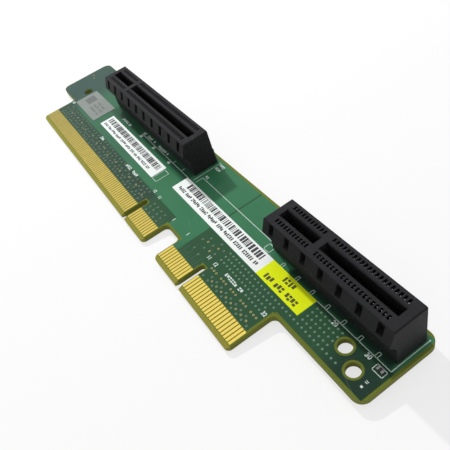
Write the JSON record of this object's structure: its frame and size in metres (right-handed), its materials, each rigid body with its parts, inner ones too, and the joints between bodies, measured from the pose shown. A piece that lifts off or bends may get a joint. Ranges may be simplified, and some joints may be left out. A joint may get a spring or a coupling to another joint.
{
  "type": "pcie riser card",
  "caption": "Long flat riser board with two keyed edge tongues along one side and two upright card-edge slots behind them, so that expansion cards mount across it.",
  "frame": {"origin": "centre of the long tongue's key notch, on the mating edge and in the plane of the front face", "axes": "+X along the card from the long tongue towards the short one, +Y from the mating edge into the card, +Z out of the front face, the way the slots open"},
  "size_m": [0.1652, 0.0328, 0.0144],
  "materials": {
    "solder_mask": "glossy",
    "slot_plastic": "satin",
    "finger_gold": "polished",
    "contact_metal": "satin",
    "grey_paper": "matte",
    "white_paper": "matte",
    "yellow_paper": "matte",
    "resistor_glaze": "glossy",
    "resistor_tin": "satin"
  },
  "bodies": {
    "root": {"circuit_board": "solder_mask", "slot_1_housing": "slot_plastic", "slot_2_housing": "slot_plastic", "x16_short_fingers_front": "finger_gold", "x16_long_fingers_front": "finger_gold", "x4_short_fingers_front": "finger_gold", "x4_long_fingers_front": "finger_gold", "x16_short_fingers_back": "finger_gold", "x16_long_fingers_back": "finger_gold", "x4_short_fingers_back": "finger_gold", "x4_long_fingers_back": "finger_gold", "slot_1_near_contacts": "contact_metal", "slot_1_far_contacts": "contact_metal", "slot_2_near_contacts": "contact_metal", "slot_2_far_contacts": "contact_metal", "grey_label": "grey_paper", "short_white_label": "white_paper", "long_white_label": "white_paper", "yellow_label": "yellow_paper", "chip_resistor_body": "resistor_glaze", "chip_resistor_ends": "resistor_tin"}
  },
  "joints": []
}
